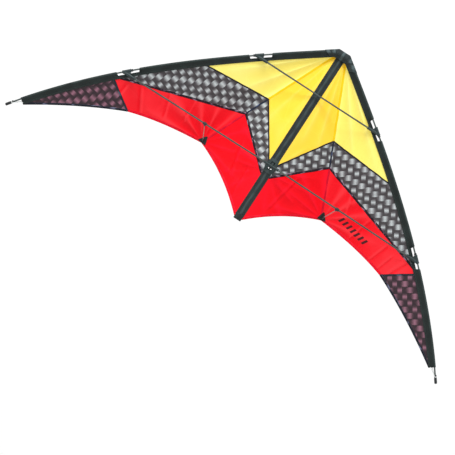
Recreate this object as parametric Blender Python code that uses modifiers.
"""Two-line delta sport kite, 1.55 m span: a spine and two bowed leading edges, spread by one upper
and two lower spreaders, carrying a sail of sewn panels that two standoffs hold back.

Frame: +X to the kite's right wing as the flyer sees it, +Z towards the nose, -Y towards the flyer.
The origin is the middle of the centre tee's cross tube, where the bridle's centre leg is tied.
"drop" is a distance below the nose, measured down the spine.
"""

import math

import bmesh
import bpy
import numpy as np
from mathutils import Matrix, Vector

# Overall layout, in metres
TEE_DROP = 0.4085  # nose to the centre tee
TAIL_DROP = 0.6008  # nose to the end of the spine's webbing
SPINE_Y = 0.015  # the spine lies this far behind the spreaders and leading edges
GAP = 0.0004  # between pieces that touch on the real kite

# Leading edges: each rod bows, so that its slope steepens from nose to tip
LE_START = (0.0165, 0.0030)  # x and drop of the rod's axis at the nose
LE_LENGTH = 1.029
LE_SLOPE_NOSE = math.radians(35.8)
LE_SLOPE_ADDED = math.radians(17.8)
LE_SLOPE_POWER = 1.8

# Rods and the tubes of fabric around them
ROD_RADIUS = 0.0025
CHANNEL_RADIUS = 0.0030
SLEEVE_SKIN = 0.0006
SLEEVE_WIDTH = 0.0195  # from the outer fold to the stitched inner edge
SLEEVE_FROM, SLEEVE_TO = 0.0125, 0.9786  # distances along the rod
SLEEVE_LEAN = math.radians(11)  # how far the sleeve's tail leans back to the sail
SLEEVE_FACETS = 9
CUTOUT_DEPTH, CUTOUT_LENGTH = 0.0130, 0.0730

# Spreaders and their connectors
UPPER_NODE, LOWER_NODE = 0.2526, 0.6573  # along the leading edge, where a spreader's axis meets it
ARM_LENGTH, ARM_RADIUS = 0.0400, 0.0048
BODY_LENGTH, BODY_RADIUS = 0.0270, 0.0050
BODY_OFFSET = 0.0100  # the body's middle lies this far up the rod from the arm's axis
SOCKET_DEPTH = 0.0240
GUSSET_THICK, GUSSET_REACH = 0.0044, 0.62  # the web between body and arm, and its share of the arm
CLIP_LENGTH, CLIP_RADIUS = 0.0050, 0.0041
OPEN_PIVOT = 0.0006  # clearance where a rod's end leaves its socket as the kite is folded

TEE_HALF, TEE_RADIUS, TEE_SOCKET = 0.0265, 0.0041, 0.0180
TEE_CLAMP_TOP, TEE_CLAMP_BOTTOM, TEE_CLAMP_RADIUS = 0.0115, -0.0065, 0.0052
TEE_WEB_WIDTH, TEE_WEB_HEIGHT = 0.0064, 0.0150

# Spine, its webbing band, the windows in it and its end fittings
SPINE_TOP, SPINE_BOTTOM = 0.0045, 0.5960  # drops of the rod's ends
SPINE_CAP_RADIUS, TOP_CAP_LENGTH, BOTTOM_CAP_LENGTH = 0.0040, 0.0120, 0.0080
CAP_FLOOR = 0.0015  # the caps' floors stand this far past the rods' ends
BAND_HALF, BAND_THICK = 0.0135, 0.0012
BAND_FROM, BAND_TO = 0.0165, 0.5870  # drops
WINDOW_HALF, WINDOW_TOP, WINDOW_BOTTOM = 0.0060, 0.3950, 0.4215
PATCH_HALF, PATCH_TOP, PATCH_BOTTOM = 0.0190, 0.3860, 0.4310
WEBBING = 0.0012
STRAP_HALF = 0.0120  # the tail strap, narrow enough for the sail to fold past it
NOSE_CORNER, NOSE_NOTCH = (0.0185, 0.0), (0.0128, 0.0270)  # of the nose patch's outline
NOSE_PATCH_OUTER, NOSE_PATCH_INNER = 0.0560, 0.0520  # where it ends along the leading edge
NOSE_FOLD_HALF = 0.0115
EDGE_CAP_LENGTH, EDGE_CAP_RADIUS = 0.0110, 0.0036

# Sail: panel corners as x and drop, on the right wing
SPINE_EDGE = BAND_HALF + GAP
CHEVRON_SPINE, CHEVRON_POINT, CHEVRON_EDGE = 0.4010, (0.1180, 0.2406), 0.4060
BELT_SPINE, BELT_POINT, BELT_EDGE = 0.4423, (0.1521, 0.3148), 0.6709
TIP_EDGE, TIP_TRAIL = 0.6911, (0.4574, 0.5063)
TAIL_CORNER, STANDOFF_CORNER = (SPINE_EDGE, 0.5940), (0.2180, 0.4625)
INNER_TRAIL_PULL = (0.1063, 0.5051)  # Bezier handles of the three trailing edge curves
OUTER_TRAIL_PULL = (0.3560, 0.4730)
TIP_TRAIL_PULL = (0.5900, 0.5660)
NOSE_SEAM_EDGE, NOSE_EDGE_BLUNT = 0.0155, 0.0030  # where the nose seam meets the leading edge
YELLOW_TOP = 0.0235
TIP_BLUNT = (0.0030, 0.0020)  # the tip panel's blunt end, along and across the leading edge
BELT_EDGE_SHARE = 7 / 8  # of the outer red panel's top side that runs along the belt
FOOT_PATCH = ((0.2120, 0.4387), (0.2133, 0.4385), (0.2310, 0.4612), (0.2045, 0.4640))
SEAM_GAP = GAP * 0.6  # each panel stops this far from its seam's line
PANEL_SKIN = 0.0008
PATCH_LIFT = 0.0050  # the trailing edge patches stand this far in front of the sail's mean surface
PANEL_ROWS, PANEL_COLUMNS = 7, 6
SAIL_DEPTH = 0.1000  # how far the standoffs hold the sail behind the spine's plane
RIDGE_SHARE, RIDGE_ROUND = 0.39, 0.06  # where the sail is deepest, as a share of the way to the edge

# Standoffs
CLAMP_AT, FOOT_AT = 0.2386, (0.2183, 0.4540)  # x of the clamp, x and drop of the foot
CLAMP_LENGTH, CLAMP_RADIUS, SPIGOT_LENGTH, SPIGOT_RADIUS = 0.0120, 0.0049, 0.0130, 0.0030
STANDOFF_RADIUS, FOOT_RADIUS, FOOT_LENGTH = 0.0012, 0.0032, 0.0120
FOOT_CLEARANCE = 0.0100  # between the foot's end and the sail
FOOT_FLOOR = 0.0030

# Wing tips
NOCK_LENGTH, NOCK_RADIUS, NOCK_BORE = 0.0270, 0.0044, 0.0240
NOCK_FLOOR = 0.0035  # the rod stops this far short of the nock's end
GROOVE_AT = 0.0210  # the tension cord's groove, measured back from the nock's end
CORD_RADIUS = 0.0009
CORD_ANCHOR = (0.0030, 0.75)  # past the sleeve's end, and share of the way across it
CORD_ANCHOR_DEPTHS = (0.0030, 0.0065)

for leftover in list(bpy.data.objects):
    bpy.data.objects.remove(leftover, do_unlink=True)

kite = bpy.data.collections.new("delta_kite")
cutters = bpy.data.collections.new("cutters")
for new_collection in (kite, cutters):
    bpy.context.scene.collection.children.link(new_collection)


# ---------------------------------------------------------------- materials


def material(name, colour, roughness, metallic=0.0):
    made = bpy.data.materials.new(name)
    made.use_nodes = True
    shader = made.node_tree.nodes["Principled BSDF"]
    shader.inputs["Base Color"].default_value = (*colour, 1.0)
    shader.inputs["Roughness"].default_value = roughness
    shader.inputs["Metallic"].default_value = metallic
    return made


YELLOW = material("yellow_ripstop", (1.0, 0.80, 0.14), 0.55)
GREY = material("grey_weave_print", (0.22, 0.22, 0.23), 0.55)
RED = material("red_ripstop", (0.93, 0.02, 0.04), 0.55)
PLUM = material("plum_weave_print", (0.14, 0.05, 0.09), 0.55)
BLACK_TAPE = material("black_webbing", (0.02, 0.024, 0.024), 0.8)
CARBON = material("dark_rod", (0.05, 0.065, 0.062), 0.35)
MOULDED = material("moulded_rubber", (0.035, 0.05, 0.052), 0.6)
VINYL = material("vinyl_cap", (0.02, 0.02, 0.022), 0.45)
PALE_ROD = material("standoff_glassfibre", (0.62, 0.60, 0.55), 0.4)
WHITE_CORD = material("white_cord", (0.85, 0.85, 0.82), 0.7)


# ---------------------------------------------------------------- geometry of the kite


def bow_table():
    """The leading edge's slope followed from the nose: distance, x, drop and slope every millimetre."""
    along = np.linspace(0.0, LE_LENGTH, 1030)
    slope = LE_SLOPE_NOSE + LE_SLOPE_ADDED * (along / LE_LENGTH) ** LE_SLOPE_POWER
    step = np.diff(along)
    x = LE_START[0] + np.concatenate([[0.0], np.cumsum(np.cos(slope[:-1] / 2 + slope[1:] / 2) * step)])
    drop = LE_START[1] + np.concatenate([[0.0], np.cumsum(np.sin(slope[:-1] / 2 + slope[1:] / 2) * step)])
    return along, x, drop, slope


BOW = bow_table()
SLEEVE_INNER = SLEEVE_WIDTH - CHANNEL_RADIUS - SLEEVE_SKIN  # inner edge, measured from the rod's axis


def on_leading_edge(along, inward=0.0):
    """x and drop of a point beside the leading edge's axis, inward from it."""
    x, drop, slope = (np.interp(along, BOW[0], column) for column in BOW[1:])
    return float(x - inward * math.sin(slope)), float(drop + inward * math.cos(slope))


def world(x, drop, y=0.0, side=1):
    return Vector((side * x, y, TEE_DROP - drop))


def edge_direction(along, side):
    """Unit vector down the leading edge, from nose to tip."""
    slope = float(np.interp(along, BOW[0], BOW[3]))
    return Vector((side * math.cos(slope), 0.0, -math.sin(slope)))


INNER_EDGE = np.array([on_leading_edge(along, SLEEVE_INNER) for along in BOW[0]])
EDGE_Y = (CHANNEL_RADIUS + SLEEVE_SKIN / 2) / math.cos(SLEEVE_LEAN) + SLEEVE_INNER * math.tan(SLEEVE_LEAN)


def sail_y(x, drop):
    """How far back the sail lies: it runs from the spine to the sleeve by way of a soft ridge that
    deepens from the nose down to the standoffs."""
    edge_x = float(np.interp(drop, INNER_EDGE[:, 1], INNER_EDGE[:, 0]))
    share = min(max((x - SPINE_EDGE) / max(edge_x - SPINE_EDGE, 1e-6), 0.0), 1.0)
    inner, outer = share / RIDGE_SHARE, (1.0 - share) / (1.0 - RIDGE_SHARE)
    tent = (inner + outer - math.sqrt((inner - outer) ** 2 + RIDGE_ROUND**2)) / 2
    level = SPINE_Y + (EDGE_Y - SPINE_Y) * share
    return level + SAIL_DEPTH * max(tent, 0.0) * drop / STANDOFF_CORNER[1]


# ---------------------------------------------------------------- modelling helpers


def add(obj, look, parent=None, collection=kite):
    """Files an object under its collection, look and parent, leaving it where it stands."""
    for other in list(obj.users_collection):
        other.objects.unlink(obj)
    collection.objects.link(obj)
    if look is not None:
        obj.data.materials.clear()
        obj.data.materials.append(look)
    if parent is not None:
        obj.parent = parent
        obj.matrix_parent_inverse = parent.matrix_basis.inverted()
    return obj


def joint_empty(name, location, parent=None):
    empty = bpy.data.objects.new(name, None)
    empty.empty_display_size = 0.05
    empty.location = location
    kite.objects.link(empty)
    if parent is not None:
        empty.parent = parent
        empty.matrix_parent_inverse = parent.matrix_basis.inverted()
    bpy.context.view_layer.update()
    return empty


def smooth(mesh, degrees=40):
    mesh.shade_smooth()
    mesh.set_sharp_from_angle(angle=math.radians(degrees))


def cylinder(name, start, end, radius, sides=12):
    bpy.ops.mesh.primitive_cylinder_add(
        vertices=sides, radius=radius, depth=(end - start).length, location=(start + end) / 2
    )
    made = bpy.context.object
    made.name = made.data.name = name
    made.rotation_euler = (end - start).to_track_quat("Z", "Y").to_euler()
    smooth(made.data)
    return made


def box(name, centre, size, turn=(0.0, 0.0, 0.0)):
    bpy.ops.mesh.primitive_cube_add(size=1.0, location=centre, rotation=turn)
    made = bpy.context.object
    made.name = made.data.name = name
    made.data.transform(Matrix.Diagonal((*size, 1.0)))
    return made


def curve(name, points, closed=False, flat=False):
    data = bpy.data.curves.new(name, "CURVE")
    data.dimensions = "2D" if flat else "3D"
    spline = data.splines.new("POLY")
    spline.points.add(len(points) - 1)
    for target, point in zip(spline.points, points):
        target.co = (*point, 1.0) if len(point) == 3 else (*point, 0.0, 1.0)
    spline.use_cyclic_u = closed
    return bpy.data.objects.new(name, data)


def tube(name, points, radius, resolution=2):
    made = curve(name, points)
    made.data.bevel_depth = radius
    made.data.bevel_resolution = resolution
    made.data.use_fill_caps = True
    made.data.twist_mode = "Z_UP"
    return made


def plate(name, outline, front, back):
    """A flat outline of x and z, extruded between two depths."""
    made = curve(name, outline, closed=True, flat=True)
    made.data.fill_mode = "BOTH"
    made.data.extrude = (back - front) / 2
    made.rotation_euler = (math.pi / 2, 0.0, 0.0)
    made.location = (0.0, (front + back) / 2, 0.0)
    return made


def as_mesh(source, name):
    """The curve made a mesh, with its loose caps welded on, so that it can be cut."""
    kite.objects.link(source)
    bpy.context.view_layer.update()
    evaluated = source.evaluated_get(bpy.context.evaluated_depsgraph_get())
    mesh = bpy.data.meshes.new_from_object(evaluated)
    made = bpy.data.objects.new(name, mesh)
    made.matrix_world = source.matrix_world
    bpy.data.objects.remove(source, do_unlink=True)
    weld = bmesh.new()
    weld.from_mesh(mesh)
    bmesh.ops.remove_doubles(weld, verts=weld.verts, dist=1e-6)
    bmesh.ops.recalc_face_normals(weld, faces=weld.faces)
    weld.to_mesh(mesh)
    weld.free()
    made.name = name
    return made


def combine(obj, other, operation):
    add(other, None, collection=cutters)
    other.hide_render = True
    other.display_type = "WIRE"
    change = obj.modifiers.new(operation.lower() + "_" + other.name, "BOOLEAN")
    change.operation = operation
    change.object = other
    change.solver = "EXACT"


def turned(name, profile, at, direction, steps=12):
    """A profile of radius and height, turned about an axis that starts at a point."""
    mesh = bpy.data.meshes.new(name)
    mesh.from_pydata([(radius, 0.0, height) for radius, height in profile],
                     [(i, i + 1) for i in range(len(profile) - 1)], [])
    made = bpy.data.objects.new(name, mesh)
    screw = made.modifiers.new("turn", "SCREW")
    screw.steps = screw.render_steps = steps
    screw.use_merge_vertices = True
    screw.merge_threshold = 1e-5
    screw.use_smooth_shade = False
    made.location = at
    made.rotation_euler = direction.to_track_quat("Z", "Y").to_euler()
    return made


def end_cap(name, rod_end, direction, length, radius, look, parent):
    """A vinyl cap pushed over a rod's end: open towards the rod, its floor past the rod's end."""
    bore = CHANNEL_RADIUS
    outer = rod_end + direction * CAP_FLOOR
    chamfer, floor = 0.0010, CAP_FLOOR - 0.0003
    profile = [
        (0.0, 0.0), (radius * 0.8, 0.0), (radius, -chamfer), (radius, -length),
        (bore, -length), (bore, -floor), (0.0, -floor),
    ]
    return add(turned(name, profile, outer, direction), look, parent)


# ---------------------------------------------------------------- joint axes

left_hinge = joint_empty("left_wing_hinge", (0.0, SPINE_Y, 0.0))
right_hinge = joint_empty("right_wing_hinge", (0.0, SPINE_Y, 0.0))
HINGES = {-1: left_hinge, 1: right_hinge}
SUFFIX = {-1: "left", 1: "right"}


# ---------------------------------------------------------------- spine and centre


def spine():
    top, bottom = world(0.0, SPINE_TOP, SPINE_Y), world(0.0, SPINE_BOTTOM, SPINE_Y)
    up = Vector((0.0, 0.0, 1.0))
    add(cylinder("spine_rod", top, bottom, ROD_RADIUS), CARBON)
    end_cap("spine_top_cap", top, up, TOP_CAP_LENGTH, SPINE_CAP_RADIUS, VINYL, None)
    end_cap("spine_bottom_cap", bottom, -up, BOTTOM_CAP_LENGTH, SPINE_CAP_RADIUS, VINYL, None)


def window_box(name):
    middle = world(0.0, (WINDOW_TOP + WINDOW_BOTTOM) / 2, SPINE_Y)
    return box(name, middle, (2 * WINDOW_HALF, 2 * SPINE_Y, WINDOW_BOTTOM - WINDOW_TOP))


def spine_band():
    """The webbing band down the spine, with the rod's sleeve as a ridge along its middle."""
    top, bottom = TEE_DROP - BAND_FROM, TEE_DROP - BAND_TO
    centre = Vector((0.0, SPINE_Y, (top + bottom) / 2))
    band = box("spine_sleeve", centre, (2 * BAND_HALF, BAND_THICK, top - bottom))
    low, high = Vector((0.0, SPINE_Y, bottom)), Vector((0.0, SPINE_Y, top))
    past = Vector((0.0, 0.0, 0.010))
    combine(band, cylinder("ridge", low, high, CHANNEL_RADIUS + SLEEVE_SKIN), "UNION")
    combine(band, cylinder("rod_channel", low - past, high + past, CHANNEL_RADIUS), "DIFFERENCE")
    combine(band, window_box("band_window"), "DIFFERENCE")
    add(band, BLACK_TAPE)


def centre_patch():
    """The reinforcement sewn over the band around the tee, with a window for it."""
    height = PATCH_BOTTOM - PATCH_TOP
    front = SPINE_Y - CHANNEL_RADIUS - SLEEVE_SKIN - GAP - WEBBING / 2
    patch = box(
        "centre_patch",
        world(0.0, (PATCH_TOP + PATCH_BOTTOM) / 2, front),
        (2 * PATCH_HALF, WEBBING, height),
    )
    combine(patch, window_box("patch_window"), "DIFFERENCE")
    add(patch, BLACK_TAPE)


def centre_tee():
    """The moulded tee: a cross tube for the lower spreaders, in front of a clamp on the spine."""
    across = Vector((TEE_HALF, 0.0, 0.0))
    tee = cylinder("centre_tee", -across, across, TEE_RADIUS)
    middle = (TEE_CLAMP_TOP + TEE_CLAMP_BOTTOM) / 2
    low, high = Vector((0.0, SPINE_Y, TEE_CLAMP_BOTTOM)), Vector((0.0, SPINE_Y, TEE_CLAMP_TOP))
    web = box("tee_web", (0.0, SPINE_Y / 2, middle), (TEE_WEB_WIDTH, SPINE_Y, TEE_WEB_HEIGHT))
    combine(tee, web, "UNION")
    combine(tee, cylinder("tee_clamp", low, high, TEE_CLAMP_RADIUS), "UNION")
    for side in (-1, 1):
        mouth = across * side * 1.2
        floor = Vector((side * (TEE_HALF - TEE_SOCKET), 0.0, 0.0))
        combine(tee, cylinder("tee_socket_" + SUFFIX[side], floor, mouth, CHANNEL_RADIUS), "DIFFERENCE")
    past = high - low
    combine(tee, cylinder("tee_bore", low - past, high + past, CHANNEL_RADIUS), "DIFFERENCE")
    add(tee, MOULDED)


def folded_webbing(name, half_width, near, far, y_front, y_back, wing_plate=None):
    """Webbing folded over an end of the spine: a front leaf, a fold across the end and a back leaf."""
    end, free = sorted((near, far), key=lambda drop: abs(drop - TEE_DROP), reverse=True)
    inward = 1 if free > end else -1
    fold = box(
        name,
        world(0.0, end + inward * WEBBING / 2, (y_front + y_back) / 2),
        (2 * half_width, y_back - y_front, WEBBING),
    )
    leaves = [(y_front + WEBBING / 2, "front_leaf"), (y_back - WEBBING / 2, "back_leaf")]
    for y, leaf_name in leaves:
        leaf = box(
            name + "_" + leaf_name,
            world(0.0, (end + free) / 2, y),
            (2 * half_width, WEBBING, abs(free - end)),
        )
        combine(fold, leaf, "UNION")
    if wing_plate is not None:
        combine(fold, wing_plate, "UNION")
    return add(fold, BLACK_TAPE)


def nose_patch():
    """The nose's webbing: a front piece spread over both leading edges, folded over to a back leaf."""
    front = -(CHANNEL_RADIUS + SLEEVE_SKIN + GAP + WEBBING)
    outer = on_leading_edge(NOSE_PATCH_OUTER, -(CHANNEL_RADIUS + SLEEVE_SKIN))
    inner = on_leading_edge(NOSE_PATCH_INNER, SLEEVE_INNER)
    right = [NOSE_CORNER, outer, inner, NOSE_NOTCH]
    outline = [(x, TEE_DROP - drop) for x, drop in right]
    outline += [(-x, z) for x, z in reversed(outline)]
    spread = as_mesh(plate("nose_outline", outline, front, front + WEBBING), "nose_spread")
    back = SPINE_Y + SPINE_CAP_RADIUS + GAP + WEBBING
    folded_webbing("nose_patch", NOSE_FOLD_HALF, 0.0, NOSE_NOTCH[1], front, back, spread)


def tail_strap():
    reach = SPINE_CAP_RADIUS + GAP + WEBBING
    folded_webbing("tail_strap", STRAP_HALF, TAIL_DROP, BAND_TO + GAP, SPINE_Y - reach, SPINE_Y + reach)


# ---------------------------------------------------------------- leading edges


def stations(start, end, spacing=0.048):
    count = max(2, round((end - start) / spacing) + 1)
    return np.linspace(start, end, count)


def edge_path(start, end, side):
    return [world(*on_leading_edge(along), side=side) for along in stations(start, end)]


def leading_edge_rod(side):
    name, hinge = SUFFIX[side], HINGES[side]
    path = edge_path(CAP_FLOOR, LE_LENGTH - NOCK_FLOOR, side)
    add(tube("leading_edge_rod_" + name, path, ROD_RADIUS), CARBON, hinge)
    up = -edge_direction(0.0, side)
    end_cap("leading_edge_cap_" + name, path[0], up, EDGE_CAP_LENGTH, EDGE_CAP_RADIUS, VINYL, hinge)


def sleeve_profile(side):
    """Cross-section of the sleeve, depth across and outward distance up: a tube around the rod, and
    a tail that leans back to the sail. It is a closed outline, whose channel is cut afterwards."""
    outer = CHANNEL_RADIUS + SLEEVE_SKIN
    lean = SLEEVE_LEAN
    back = Vector((math.cos(lean), math.sin(lean)))  # normal of the tail, towards +Y
    down = Vector((math.sin(lean), -math.cos(lean)))  # along the tail, inwards
    reach = (SLEEVE_INNER - outer * math.sin(lean)) / math.cos(lean)
    tail_back = back * outer + down * reach
    tail_front = back * CHANNEL_RADIUS + down * reach
    wrap_end = math.acos(CHANNEL_RADIUS / outer)
    first = math.atan2(back.y, back.x)
    sweep = (2 * math.pi - wrap_end) / SLEEVE_FACETS
    turns = [first + sweep * i for i in range(SLEEVE_FACETS + 1)]
    arc = [Vector((math.cos(turn), math.sin(turn))) * outer for turn in turns]
    return [(-side * point.x, point.y) for point in [tail_back, *arc, tail_front]]


def leading_edge_sleeve(side):
    name = SUFFIX[side]
    profile = curve("sleeve_profile", sleeve_profile(side), closed=True, flat=True)
    kite.objects.link(profile)
    path = curve("sleeve_path", edge_path(SLEEVE_FROM, SLEEVE_TO, side))
    path.data.bevel_mode = "OBJECT"
    path.data.bevel_object = profile
    path.data.use_fill_caps = True
    path.data.twist_mode = "Z_UP"
    sleeve = as_mesh(path, "leading_edge_sleeve_" + name)
    bpy.data.objects.remove(profile, do_unlink=True)
    past = CLIP_LENGTH
    channel_path = edge_path(SLEEVE_FROM - past, SLEEVE_TO + past, side)
    channel = as_mesh(tube("channel_tube", channel_path, CHANNEL_RADIUS), "sleeve_channel_" + name)
    combine(sleeve, channel, "DIFFERENCE")
    for label, node in (("upper", UPPER_NODE), ("lower", LOWER_NODE)):
        middle = node - BODY_OFFSET
        tall = 2 * CUTOUT_DEPTH
        outer = SLEEVE_WIDTH - SLEEVE_INNER
        centre = world(*on_leading_edge(middle, CUTOUT_DEPTH - outer - tall / 2), side=side)
        direction = edge_direction(middle, side)
        turn = (0.0, -math.atan2(direction.z, direction.x), 0.0)
        size = (CUTOUT_LENGTH, 2 * SLEEVE_WIDTH, tall)
        opening = box("cutout_" + label + "_" + name, centre, size, turn)
        combine(sleeve, opening, "DIFFERENCE")
    add(sleeve, BLACK_TAPE, HINGES[side])


def connector(name, node, direction, side, parent):
    """A moulded connector: a body on the leading edge, an arm along the spreader and a web between."""
    on_edge = world(*on_leading_edge(node), side=side)
    middle = world(*on_leading_edge(node - BODY_OFFSET), side=side)
    along = edge_direction(node - BODY_OFFSET, side)
    half = along * BODY_LENGTH / 2
    made = cylinder(name, middle - half, middle + half, BODY_RADIUS)
    arm_end = on_edge + direction * ARM_LENGTH
    combine(made, cylinder(name + "_arm", on_edge, arm_end, ARM_RADIUS), "UNION")
    corners = [middle - half * 0.9, on_edge, on_edge + direction * ARM_LENGTH * GUSSET_REACH]
    outline = [(corner.x, corner.z) for corner in corners]
    web = plate(name + "_outline", outline, -GUSSET_THICK / 2, GUSSET_THICK / 2)
    combine(made, as_mesh(web, name + "_web"), "UNION")
    past = along * BODY_RADIUS
    bore = cylinder(name + "_bore", middle - half - past, middle + half + past, CHANNEL_RADIUS)
    combine(made, bore, "DIFFERENCE")
    floor = arm_end - direction * SOCKET_DEPTH
    socket = cylinder(name + "_socket", floor, arm_end + direction * ARM_RADIUS, CHANNEL_RADIUS)
    combine(made, socket, "DIFFERENCE")
    return add(made, MOULDED, parent)


def stop_clip(name, along, side):
    """A clip on the rod that a connector rests against."""
    middle, half = world(*on_leading_edge(along), side=side), edge_direction(along, side) * CLIP_LENGTH / 2
    clip = cylinder(name, middle - half, middle + half, CLIP_RADIUS, 10)
    bore = cylinder(name + "_bore", middle - half * 2, middle + half * 2, CHANNEL_RADIUS, 10)
    combine(clip, bore, "DIFFERENCE")
    add(clip, VINYL, HINGES[side])


def stop_clips(side):
    reach = BODY_LENGTH / 2 + GAP + CLIP_LENGTH / 2
    name = SUFFIX[side]
    stop_clip("upper_stop_clip_" + name, UPPER_NODE - BODY_OFFSET + reach, side)
    stop_clip("lower_stop_clip_" + name, LOWER_NODE - BODY_OFFSET - reach, side)


def nock(side):
    """The arrow nock on the rod's end, with the groove that its tension cord lies in."""
    end = world(*on_leading_edge(LE_LENGTH), side=side)
    direction = edge_direction(LE_LENGTH - NOCK_LENGTH / 2, side)
    waist, lip, chamfer = NOCK_RADIUS * 0.86, NOCK_RADIUS * 0.97, 0.0015
    profile = [
        (0.0, 0.0), (NOCK_RADIUS * 0.75, 0.0), (NOCK_RADIUS, -chamfer), (NOCK_RADIUS, -GROOVE_AT + 0.0040),
        (waist, -GROOVE_AT + chamfer), (waist, -GROOVE_AT - chamfer), (lip, -GROOVE_AT - 2 * chamfer),
        (lip, -NOCK_LENGTH), (CHANNEL_RADIUS, -NOCK_LENGTH),
        (CHANNEL_RADIUS, -NOCK_LENGTH + NOCK_BORE), (0.0, -NOCK_LENGTH + NOCK_BORE),
    ]
    add(turned("nock_" + SUFFIX[side], profile, end, direction), VINYL, HINGES[side])


def tension_cord(side):
    """The white cord that tensions the sail: from the sleeve's end, round the nock's groove and back."""
    direction = edge_direction(LE_LENGTH - GROOVE_AT, side)
    hub = world(*on_leading_edge(LE_LENGTH - GROOVE_AT), side=side)
    outward = Vector((abs(direction.z) * side, 0.0, abs(direction.x)))
    ring = NOCK_RADIUS + CORD_RADIUS + GAP
    arc = []
    for angle in np.radians(np.linspace(-100, 100, 9)):
        arc.append(hub + outward * math.cos(angle) * ring + Vector((0.0, math.sin(angle) * ring, 0.0)))
    past, share = CORD_ANCHOR
    anchor = on_leading_edge(SLEEVE_TO + past, SLEEVE_INNER * share)
    front, back = (world(*anchor, depth, side) for depth in CORD_ANCHOR_DEPTHS)
    add(tube("tension_cord_" + SUFFIX[side], [front, *arc, back], CORD_RADIUS), WHITE_CORD, HINGES[side])


# ---------------------------------------------------------------- sail


def line(start, end):
    return lambda share: (start[0] + (end[0] - start[0]) * share, start[1] + (end[1] - start[1]) * share)


def bend(start, pull, end):
    """A quadratic Bezier from start to end."""
    def at(share):
        rest = 1.0 - share
        return tuple(rest * rest * a + 2 * rest * share * b + share * share * c
                     for a, b, c in zip(start, pull, end))
    return at


def by_way_of(start, corner, end, corner_share):
    first, second = line(start, corner), line(corner, end)
    return lambda share: (
        first(share / corner_share) if share < corner_share
        else second((share - corner_share) / (1.0 - corner_share))
    )


def beside_sleeve(start, end):
    """Along the sleeve's stitched edge, between two distances down the leading edge."""
    return lambda share: on_leading_edge(start + (end - start) * share, SLEEVE_INNER)


def sail_panel(name, near, far, start, end, look, side, lift=0.0, rows=PANEL_ROWS, columns=PANEL_COLUMNS):
    """A sewn panel between four sides. near and far run down the panel, start and end across it."""
    mesh = bpy.data.meshes.new(name)
    panel = bmesh.new()
    bmesh.ops.create_grid(panel, x_segments=rows, y_segments=columns, size=0.5)
    corners = near(0.0), near(1.0), far(0.0), far(1.0)
    places = {}
    for vertex in panel.verts:
        u, v = vertex.co.x + 0.5, vertex.co.y + 0.5
        places[vertex] = [
            (1 - v) * near(u)[i] + v * far(u)[i] + (1 - u) * start(v)[i] + u * end(v)[i]
            - (1 - u) * (1 - v) * corners[0][i] - u * (1 - v) * corners[1][i]
            - (1 - u) * v * corners[2][i] - u * v * corners[3][i]
            for i in (0, 1)
        ]
    for vertex, (x, drop) in places.items():
        vertex.co = (x, 0.0, TEE_DROP - drop)
    pull_in_rim(panel, SEAM_GAP)
    for vertex in panel.verts:
        x, drop = vertex.co.x, TEE_DROP - vertex.co.z
        vertex.co = (side * x, sail_y(x, drop) + lift, vertex.co.z)
    for face in panel.faces:
        face.normal_update()
        if face.normal.y > 0:
            face.normal_flip()
    panel.to_mesh(mesh)
    panel.free()
    mesh.shade_smooth()
    made = bpy.data.objects.new(name, mesh)
    skin = made.modifiers.new("skin", "SOLIDIFY")
    skin.thickness = PANEL_SKIN
    skin.offset = 0.0
    return add(made, look, HINGES[side])


def pull_in_rim(panel, distance):
    """Moves a flat patch's rim inwards in its plane, so that it stands clear of its neighbours."""
    inward = {}
    for edge in panel.edges:
        if not edge.is_boundary:
            continue
        face = edge.link_faces[0]
        first, second = edge.verts
        along = (second.co - first.co).normalized()
        across = Vector((-along.z, 0.0, along.x))
        if across.dot(face.calc_center_median() - first.co) < 0:
            across.negate()
        for vertex in edge.verts:
            inward.setdefault(vertex, []).append(across)
    for vertex, normals in inward.items():
        total = sum(normals, Vector()).normalized()
        vertex.co += total * distance / max(total.dot(normals[0]), 0.35)


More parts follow.
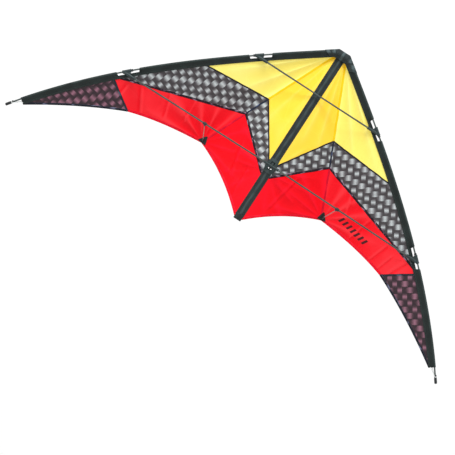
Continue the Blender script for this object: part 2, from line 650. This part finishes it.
def sail(side):
    name = "_" + SUFFIX[side]
    nose_edge = on_leading_edge(NOSE_SEAM_EDGE, SLEEVE_INNER)
    chevron_edge = on_leading_edge(CHEVRON_EDGE, SLEEVE_INNER)
    belt_edge = on_leading_edge(BELT_EDGE, SLEEVE_INNER)
    tip_edge = on_leading_edge(TIP_EDGE, SLEEVE_INNER)
    nose_inner = (SPINE_EDGE, YELLOW_TOP)
    chevron_inner, belt_inner = (SPINE_EDGE, CHEVRON_SPINE), (SPINE_EDGE, BELT_SPINE)
    tip_end = SLEEVE_TO - TIP_BLUNT[0]
    tip_corner = on_leading_edge(SLEEVE_TO, SLEEVE_INNER + TIP_BLUNT[1])
    past_nose = NOSE_SEAM_EDGE + NOSE_EDGE_BLUNT
    sail_panel(
        "yellow_inner_panel" + name, line(nose_inner, chevron_inner), line(nose_edge, CHEVRON_POINT),
        line(nose_inner, nose_edge), line(chevron_inner, CHEVRON_POINT), YELLOW, side,
    )
    sail_panel(
        "yellow_outer_panel" + name, line(nose_edge, CHEVRON_POINT), beside_sleeve(past_nose, CHEVRON_EDGE),
        line(nose_edge, on_leading_edge(past_nose, SLEEVE_INNER)), line(CHEVRON_POINT, chevron_edge),
        YELLOW, side,
    )
    sail_panel(
        "grey_inner_panel" + name, line(chevron_inner, belt_inner), line(CHEVRON_POINT, BELT_POINT),
        line(chevron_inner, CHEVRON_POINT), line(belt_inner, BELT_POINT), GREY, side, rows=4,
    )
    sail_panel(
        "grey_outer_panel" + name, line(CHEVRON_POINT, BELT_POINT), beside_sleeve(CHEVRON_EDGE, BELT_EDGE),
        line(CHEVRON_POINT, chevron_edge), line(BELT_POINT, belt_edge), GREY, side, rows=4, columns=8,
    )
    sail_panel(
        "red_inner_panel" + name, line(belt_inner, TAIL_CORNER), line(BELT_POINT, STANDOFF_CORNER),
        line(belt_inner, BELT_POINT), bend(TAIL_CORNER, INNER_TRAIL_PULL, STANDOFF_CORNER), RED, side,
    )
    sail_panel(
        "red_outer_panel" + name, line(BELT_POINT, STANDOFF_CORNER), line(tip_edge, TIP_TRAIL),
        by_way_of(BELT_POINT, belt_edge, tip_edge, BELT_EDGE_SHARE),
        bend(STANDOFF_CORNER, OUTER_TRAIL_PULL, TIP_TRAIL), RED, side, columns=9,
    )
    sail_panel(
        "tip_panel" + name, beside_sleeve(TIP_EDGE, tip_end), bend(TIP_TRAIL, TIP_TRAIL_PULL, tip_corner),
        line(tip_edge, TIP_TRAIL),
        line(on_leading_edge(tip_end, SLEEVE_INNER), tip_corner), PLUM, side, columns=4,
    )
    top_in, top_out, low_out, low_in = FOOT_PATCH
    sail_panel(
        "trailing_edge_patch" + name, line(top_in, low_in), line(top_out, low_out),
        line(top_in, top_out), line(low_in, low_out), BLACK_TAPE, side,
        lift=-PATCH_LIFT, rows=4, columns=3,
    )


# ---------------------------------------------------------------- spreaders and standoffs


def swing_empty(name, node, side):
    """An empty on the leading edge's axis, which a connector turns about."""
    return joint_empty(name, world(*on_leading_edge(node - BODY_OFFSET), side=side), HINGES[side])


def upper_spreader():
    pivot = swing_empty("upper_spreader_pivot", UPPER_NODE, -1)
    left_node, right_node = (world(*on_leading_edge(UPPER_NODE), side=side) for side in (-1, 1))
    inward = Vector((1.0, 0.0, 0.0))
    connector("upper_connector_left", UPPER_NODE, inward, -1, pivot)
    connector("upper_connector_right", UPPER_NODE, -inward, 1, HINGES[1])
    start = left_node + inward * (ARM_LENGTH - SOCKET_DEPTH + GAP)
    end = right_node - inward * (ARM_LENGTH + OPEN_PIVOT)
    add(cylinder("upper_spreader", start, end, ROD_RADIUS), CARBON, pivot)


def lower_spreader(side):
    name = SUFFIX[side]
    pivot = swing_empty("lower_spreader_pivot_" + name, LOWER_NODE, side)
    node = world(*on_leading_edge(LOWER_NODE), side=side)
    inner_end = Vector((side * (TEE_HALF + OPEN_PIVOT), 0.0, 0.0))
    inward = (inner_end - node).normalized()
    connector("lower_connector_" + name, LOWER_NODE, inward, side, pivot)
    start = node + inward * (ARM_LENGTH - SOCKET_DEPTH + GAP)
    add(cylinder("lower_spreader_" + name, start, inner_end, ROD_RADIUS), CARBON, pivot)
    grip = inner_end + inward * (side * CLAMP_AT - inner_end.x) / inward.x
    foot = world(*FOOT_AT, sail_y(*FOOT_AT) - FOOT_CLEARANCE, side)
    half = inward * CLAMP_LENGTH / 2
    clamp = cylinder("standoff_clamp_" + name, grip - half, grip + half, CLAMP_RADIUS)
    toward_foot = (foot - grip).normalized()
    tip = grip + toward_foot * SPIGOT_LENGTH
    bore = cylinder("clamp_bore_" + name, grip - half * 2, grip + half * 2, CHANNEL_RADIUS)
    combine(clamp, cylinder("spigot_" + name, grip, tip, SPIGOT_RADIUS, 10), "UNION")
    combine(clamp, bore, "DIFFERENCE")
    add(clamp, MOULDED, pivot)
    standoff(side, tip + toward_foot * OPEN_PIVOT, foot, toward_foot)


def standoff(side, front, foot, direction):
    """The standoff rod and the vinyl foot that ties it to the sail."""
    name = SUFFIX[side]
    pivot = joint_empty("standoff_pivot_" + name, foot, HINGES[side])
    rod_end = foot - direction * FOOT_FLOOR
    add(cylinder("standoff_rod_" + name, front, rod_end, STANDOFF_RADIUS, 8), PALE_ROD, pivot)
    foot_start = foot - direction * FOOT_LENGTH
    cap = cylinder("standoff_foot_" + name, foot_start, foot, FOOT_RADIUS, 10)
    hole_from, hole_to = foot_start - direction * FOOT_FLOOR, rod_end + direction * GAP
    hole = cylinder("foot_bore_" + name, hole_from, hole_to, STANDOFF_RADIUS + GAP, 8)
    combine(cap, hole, "DIFFERENCE")
    add(cap, VINYL, pivot)


spine()
spine_band()
centre_patch()
centre_tee()
nose_patch()
tail_strap()
upper_spreader()
for wing_side in (-1, 1):
    leading_edge_rod(wing_side)
    leading_edge_sleeve(wing_side)
    stop_clips(wing_side)
    nock(wing_side)
    tension_cord(wing_side)
    sail(wing_side)
    lower_spreader(wing_side)
